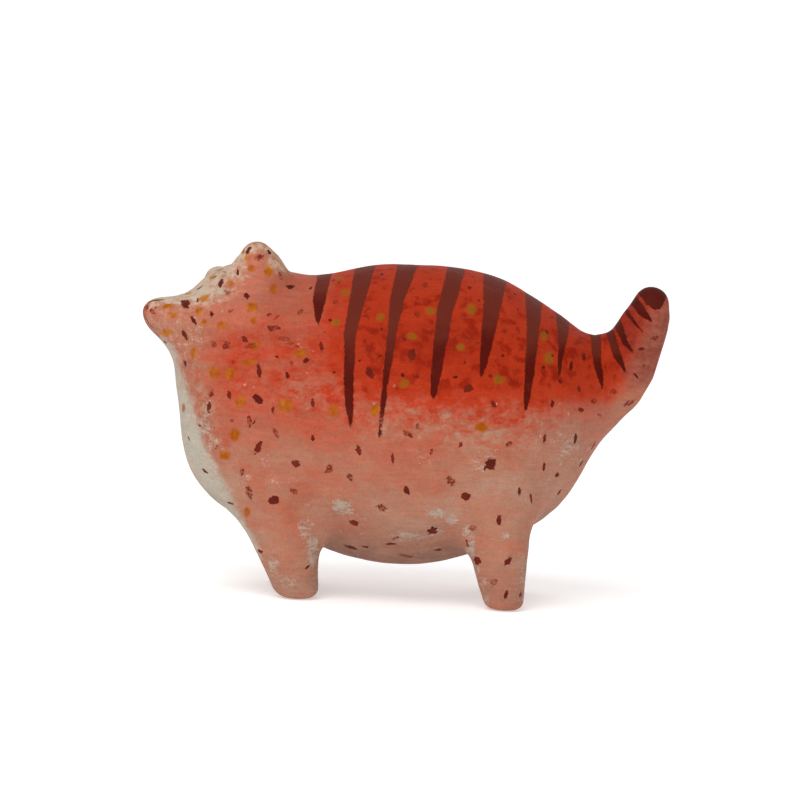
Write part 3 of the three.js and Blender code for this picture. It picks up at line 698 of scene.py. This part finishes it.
# head: cream dabbed over pink
dapple = m.add(m.about(mid, 0.50), m.about(fine, 0.55), m.about(patchy, 0.60), m.about(drag, 0.35), m.about(grain, 0.2))
colour = m.mix(m.ramp(m.add(m.value("head_area"), m.times(dapple, 0.8)), 0.15, 0.85, 0, 0.75), colour, lin(185, 101, 78))
head_pale = m.ramp(m.add(m.value("cream"), dapple), 0.20, 1.05, 0, 0.90)
colour = m.mix(head_pale, colour, m.mix(m.ramp(m.add(fine, m.about(mid, 0.6), m.about(drag, 0.4), m.times(m.value("cream"), 0.24)), 0.50, 0.78), lin(180, 132, 108), lin(196, 175, 152)))
# cream bib
bib_mask = m.ramp(m.add(m.value("bib"), m.about(mid, 0.35), m.about(drag, 0.55), m.about(fine, 0.3)), 0.25, 0.80)
colour = m.mix(bib_mask, colour, m.mix(m.ramp(m.add(patchy, m.about(streak, 0.5)), 0.34, 0.72), lin(180, 172, 156), lin(182, 160, 144)))
# thin dragged white
white_mask = m.times(m.ramp(m.add(m.times(m.value("white"), 0.66), m.about(drag, 1.3), m.about(grain, 0.6), m.about(mid, 0.5), m.about(fine, 0.4)), 0.42, 0.78), m.ramp(m.value("white"), 0.05, 0.5, 0, 0.74))
colour = m.mix(white_mask, colour, m.mix(m.ramp(mid, 0.4, 0.6), lin(186, 174, 158), lin(172, 164, 150)))
# painted shade underneath, thin and greyish
colour = m.mix(m.times(m.value("underside_shade"), m.ramp(m.add(mid, m.about(drag, 0.6)), 0.3, 0.65, 0.45, 0.8)), colour, lin(128, 98, 84))
# small pale flecks: partly pale paint left by the dry brush, partly painted glints of light on the raised paint
dot, cell = m.cells(3.4)
fleck_and_glint = m.times(m.ramp(m.add(dot, m.about(grain, 0.5), m.about(fine, 0.4), m.about(drag, 0.5)), 0.20, 0.12), m.ramp(m.parts(cell)[0], 0.84, 0.87))
fleck_and_glint = m.times(fleck_and_glint, m.ramp(m.add(m.value("head_area"), m.value("mottle"), m.value("white")), 0.2, 0.7))
colour = m.mix(m.times(fleck_and_glint, 0.6), colour, lin(200, 166, 146))
colour = m.mix(m.times(m.ramp(m.add(m.value("nose"), m.about(fine, 0.7)), 0.3, 0.8), 0.72), colour, lin(172, 78, 50))
# bristle marks: a little lighter and darker along the strokes
tone = m.add(0.97, m.about(streak, 0.36), m.about(drag, 0.42), m.about(grain, 0.40), m.about(fine, 0.24), m.about(bristle, 0.36))
shade = m.tree.nodes.new("ShaderNodeVectorMath")
shade.operation = "SCALE"
m.put(shade.inputs[0], colour)
m.put(shade.inputs["Scale"], tone)
colour = shade.outputs[0]

# ochre touches, thin enough for the ground to tint them
ox, oy, oseed = m.parts(m.vector("ochre_touch"))
o_r = m.add(m.math("SQRT", m.add(m.times(ox, ox), m.times(oy, oy))), m.about(fine, 0.9), m.about(grain, 0.45), m.about(mid, 0.6))
ochre_mask = m.times(m.ramp(o_r, 1.50, 0.58), m.ramp(oseed, 0.0, 1.0, 0.84, 1.0))
gold = m.mix(m.ramp(m.value("ruddy"), 0.3, 0.8), m.mix(m.ramp(m.add(fine, m.times(m.value("cream"), 0.2)), 0.40, 0.70), lin(156, 72, 6), lin(176, 106, 15)), lin(126, 92, 13))
colour = m.mix(m.times(ochre_mask, m.ramp(m.value("ruddy"), 0.3, 0.8, 1.0, 0.66)), colour, gold)

# brown stripes: thinner on the back and lighter, greyer there as a painted sheen, darker towards the tips
stripe_at = m.add(m.value("stripe"), m.about(mid, 0.9), m.about(fine, 1.0), m.about(grain, 0.5), m.about(drag, 0.5))
stripe_mask = m.ramp(stripe_at, 0.25, -0.25)
# painted sheen: the brown lighter and greyer towards the spine
brown = m.mix(m.ramp(m.add(m.value("stripe_run"), m.about(mid, 0.3), m.about(streak, 0.2)), 0.68, 0.36), lin(76, 11, 4), lin(98, 36, 24))
brown = m.mix(m.ramp(m.add(streak, m.about(grain, 0.4)), 0.50, 0.75, 0, 0.4), brown, lin(102, 42, 26))
brown = m.mix(m.times(m.value("tail"), 0.7), brown, lin(66, 12, 5))
colour = m.mix(m.times(stripe_mask, 0.97), colour, brown)

# dark specks, each with its own ragged outline
touch = m.vector("dark_touch")
dx, dy, dseed = m.parts(touch)
spread = m.tree.nodes.new("ShaderNodeVectorMath")
spread.operation = "MULTIPLY"
m.put(spread.inputs[0], touch)
spread.inputs[1].default_value = (1.0, 0.8, 61.0)
own = m.tree.nodes.new("ShaderNodeTexNoise")
m.put(own.inputs["Vector"], spread.outputs[0])
own.inputs["Scale"].default_value, own.inputs["Detail"].default_value = 1.5, 2.0
d_r = m.add(m.math("SQRT", m.add(m.times(dx, dx), m.times(dy, dy))), m.about(own.outputs["Fac"], 1.7), m.about(grain, 0.45))
dark_mask = m.ramp(d_r, 1.12, 0.86)
broken = m.ramp(dseed, 0.56, 0.60)
thin = m.ramp(dseed, 0.79, 0.82)
holes = m.times(broken, m.ramp(m.add(m.noise(1.1, 2, 0.5, shift=6.6), m.about(grain, 0.5)), 0.46, 0.58))
dark_mask = m.times(m.times(dark_mask, m.math("SUBTRACT", 1.0, m.times(holes, 0.55))), m.math("MULTIPLY_ADD", thin, -0.24, 0.96))
dark_colour = m.mix(m.ramp(m.add(dseed, m.about(fine, 0.8)), 0.0, 0.7), lin(80, 15, 7), lin(112, 34, 18))
dark_colour = m.mix(thin, dark_colour, lin(112, 32, 16))
colour = m.mix(dark_mask, colour, dark_colour)

m.put(m.shader.inputs["Base Color"], colour)
rough = m.add(0.64, m.about(mid, 0.16), m.about(fine, 0.16), m.times(stripe_mask, -0.05), m.times(dark_mask, -0.08), m.times(bib_mask, 0.06))
m.put(m.shader.inputs["Roughness"], rough)
m.shader.inputs["Specular IOR Level"].default_value = 0.05
height = m.add(m.times(mid, 0.6), m.times(fine, 0.5), m.times(streak, 0.6), m.times(grain, 0.22), m.times(drag, 0.45), m.times(bristle, 0.2), m.times(dark_mask, 0.30), m.times(ochre_mask, 0.25), m.times(stripe_mask, 0.18), m.times(white_mask, 0.3), m.times(fleck_and_glint, 0.4))
bump = m.tree.nodes.new("ShaderNodeBump")
bump.inputs["Strength"].default_value = 0.75
bump.inputs["Distance"].default_value = 0.0005
m.put(bump.inputs["Height"], height)
m.put(m.shader.inputs["Normal"], bump.outputs["Normal"])
mesh.materials.append(m.material)

# ---------------------------------------------------------------- studio: pale sweep, soft light, camera
sweep_points, sweep_faces = [], []
profile = [(-3.0, 0.0), (1.2, 0.0)] + [(1.2 + 0.8 * math.sin(a), 0.8 - 0.8 * math.cos(a)) for a in np.linspace(0.1, math.pi / 2, 16)] + [(2.0, 3.0)]
for y, z in profile:
    sweep_points += [(-3.5, y, z), (3.5, y, z)]
for i in range(len(profile) - 1):
    sweep_faces.append((2 * i, 2 * i + 1, 2 * i + 3, 2 * i + 2))
sweep_mesh = bpy.data.meshes.new("studio_sweep")
sweep_mesh.from_pydata(sweep_points, [], sweep_faces)
sweep_mesh.polygons.foreach_set("use_smooth", np.ones(len(sweep_faces), bool))
sweep = bpy.data.objects.new("studio_sweep", sweep_mesh)
bpy.context.scene.collection.objects.link(sweep)
pale = Paint("pale_sweep")
pale.shader.inputs["Roughness"].default_value = 0.9
pale.shader.inputs["Specular IOR Level"].default_value = 0.1
pale.put(pale.shader.inputs["Base Color"], pale.mix(pale.noise(400, 2, 0.5), (0.90, 0.90, 0.90, 1), (0.92, 0.92, 0.915, 1)))
pale.shader.inputs["Emission Color"].default_value = (1.0, 1.0, 1.0, 1.0)
pale.shader.inputs["Emission Strength"].default_value = 0.36
sweep_mesh.materials.append(pale.material)
sweep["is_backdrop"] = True

world = bpy.data.worlds.new("soft_room")
world.use_nodes = True
world.node_tree.nodes["Background"].inputs["Color"].default_value = (1.0, 1.0, 1.0, 1.0)
world.node_tree.nodes["Background"].inputs["Strength"].default_value = 0.50
bpy.context.scene.world = world


def soft_light(name, at, aim, size, watts):
    data = bpy.data.lights.new(name, "AREA")
    data.shape, data.size, data.energy = "DISK", size, watts
    obj = bpy.data.objects.new(name, data)
    bpy.context.scene.collection.objects.link(obj)
    obj.matrix_world = Matrix.Translation(at) @ (Vector(aim) - Vector(at)).to_track_quat("-Z", "Y").to_matrix().to_4x4()


soft_light("key", (-0.35, -0.9, 1.3), (0, 0, 0.07), 1.2, 11.3)
soft_light("front", (-0.3, -1.7, 0.5), (0, 0, 0.07), 1.4, 5.6)

LOOK_AT = Vector((-0.0012, 0.0, 0.0742))
DISTANCE, ELEVATION, LEAN = 1.0, math.radians(3.0), math.radians(2.9)
back = Vector((0, -math.cos(ELEVATION), math.sin(ELEVATION)))
right = Vector((1, 0, 0))
up = back.cross(right)
r = math.cos(LEAN) * right + math.sin(LEAN) * up
u = -math.sin(LEAN) * right + math.cos(LEAN) * up
data = bpy.data.cameras.new("camera")
data.sensor_width, data.lens, data.clip_start = 36.0, 36.0 * (DISTANCE / 0.0003795) / 800.0, 0.05
camera = bpy.data.objects.new("camera", data)
bpy.context.scene.collection.objects.link(camera)
camera.matrix_world = Matrix.Translation(LOOK_AT + back * DISTANCE) @ Matrix((r, u, back)).transposed().to_4x4()
bpy.context.scene.camera = camera
bpy.context.scene.view_settings.view_transform = "Standard"

plain = lambda box: [[float(v) for v in corner] for corner in box]
{"cad": plain(cad_box), "visual": plain(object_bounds())}
